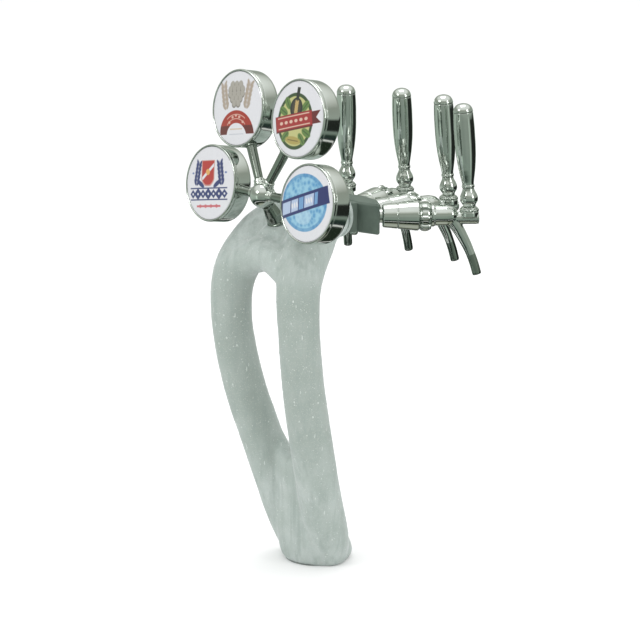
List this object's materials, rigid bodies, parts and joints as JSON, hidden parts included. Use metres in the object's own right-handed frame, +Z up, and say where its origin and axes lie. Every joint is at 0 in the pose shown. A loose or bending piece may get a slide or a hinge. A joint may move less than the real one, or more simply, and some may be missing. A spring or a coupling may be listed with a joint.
{
  "type": "beer tap tower",
  "caption": "Frosted ice-column beer tower: split legs join in a head with a fan of lever taps behind and a fan of round badge medallions above the front.",
  "frame": {"origin": "centre of the foot, on the counter, at the underside of the base flange", "axes": "+Z up from the counter, -Y towards the customer (the side that the medallions face), +Y towards the bartender (the side of the taps), X across; the tower is a mirror image about X = 0"},
  "size_m": [0.266, 0.3019, 0.6011],
  "materials": {
    "frosted_steel": "matte",
    "chrome": "polished",
    "dark_satin": "satin",
    "steel": "satin",
    "rubber": "matte",
    "line_plastic": "satin",
    "clear_lens": "gloss",
    "label_left_lower": "satin",
    "label_left_upper": "satin",
    "label_right_upper": "satin",
    "label_right_lower": "satin"
  },
  "bodies": {
    "tower": {"base_seal": "rubber", "base_flange": "steel", "foot_casting": "frosted_steel", "left_leg": "frosted_steel", "right_leg": "frosted_steel", "head_casting": "frosted_steel", "head_end_ring": "frosted_steel", "manifold_block": "dark_satin", "manifold_fixing_screw": "chrome", "coolant_line": "steel", "beer_line_1": "line_plastic", "beer_line_2": "line_plastic", "beer_line_3": "line_plastic", "beer_line_4": "line_plastic", "hub": "chrome", "hub_pedestal": "chrome", "arm_left_lower": "chrome", "medallion_housing_left_lower": "chrome", "medallion_label_left_lower": "label_left_lower", "medallion_lens_left_lower": "clear_lens", "arm_left_upper": "chrome", "medallion_housing_left_upper": "chrome", "medallion_label_left_upper": "label_left_upper", "medallion_lens_left_upper": "clear_lens", "arm_right_upper": "chrome", "medallion_housing_right_upper": "chrome", "medallion_label_right_upper": "label_right_upper", "medallion_lens_right_upper": "clear_lens", "arm_right_lower": "chrome", "medallion_housing_right_lower": "chrome", "medallion_label_right_lower": "label_right_lower", "medallion_lens_right_lower": "clear_lens", "shank_1": "chrome", "coupling_nut_1": "chrome", "tap_body_1": "chrome", "bonnet_1": "chrome", "shank_2": "chrome", "coupling_nut_2": "chrome", "tap_body_2": "chrome", "bonnet_2": "chrome", "shank_3": "chrome", "coupling_nut_3": "chrome", "tap_body_3": "chrome", "bonnet_3": "chrome", "shank_4": "chrome", "coupling_nut_4": "chrome", "tap_body_4": "chrome", "bonnet_4": "chrome"},
    "handle_1": {"lever_1": "chrome", "handle_1": "chrome"},
    "spool_1": {"valve_spool_1": "steel"},
    "handle_2": {"lever_2": "chrome", "handle_2": "chrome"},
    "spool_2": {"valve_spool_2": "steel"},
    "handle_3": {"lever_3": "chrome", "handle_3": "chrome"},
    "spool_3": {"valve_spool_3": "steel"},
    "handle_4": {"lever_4": "chrome", "handle_4": "chrome"},
    "spool_4": {"valve_spool_4": "steel"}
  },
  "joints": [
    {"name": "tap_1_lever", "type": "hinge", "parent": "tower", "child": "handle_1", "pos_m": [-0.10887, 0.14645, 0.437], "axis": [-0.7771, -0.6293, 0], "range_deg": [0, 30]},
    {"name": "tap_1_spool", "type": "slide", "parent": "tower", "child": "spool_1", "axis": [-0.6293, 0.7771, 0], "range_m": [-0.008, 0]},
    {"name": "tap_2_lever", "type": "hinge", "parent": "tower", "child": "handle_2", "pos_m": [-0.03892, 0.18057, 0.437], "axis": [-0.9744, -0.225, 0], "range_deg": [0, 30]},
    {"name": "tap_2_spool", "type": "slide", "parent": "tower", "child": "spool_2", "axis": [-0.225, 0.9744, 0], "range_m": [-0.008, 0]},
    {"name": "tap_3_lever", "type": "hinge", "parent": "tower", "child": "handle_3", "pos_m": [0.03892, 0.18057, 0.437], "axis": [-0.9744, 0.225, 0], "range_deg": [0, 30]},
    {"name": "tap_3_spool", "type": "slide", "parent": "tower", "child": "spool_3", "axis": [0.225, 0.9744, 0], "range_m": [-0.008, 0]},
    {"name": "tap_4_lever", "type": "hinge", "parent": "tower", "child": "handle_4", "pos_m": [0.10887, 0.14645, 0.437], "axis": [-0.7771, 0.6293, 0], "range_deg": [0, 30]},
    {"name": "tap_4_spool", "type": "slide", "parent": "tower", "child": "spool_4", "axis": [0.6293, 0.7771, 0], "range_m": [-0.008, 0]}
  ],
  "couplings": [
    {"joint": "tap_1_spool", "follows": "tap_1_lever", "m_per_rad": -0.0146},
    {"joint": "tap_2_spool", "follows": "tap_2_lever", "m_per_rad": -0.0146},
    {"joint": "tap_3_spool", "follows": "tap_3_lever", "m_per_rad": -0.0146},
    {"joint": "tap_4_spool", "follows": "tap_4_lever", "m_per_rad": -0.0146}
  ]
}
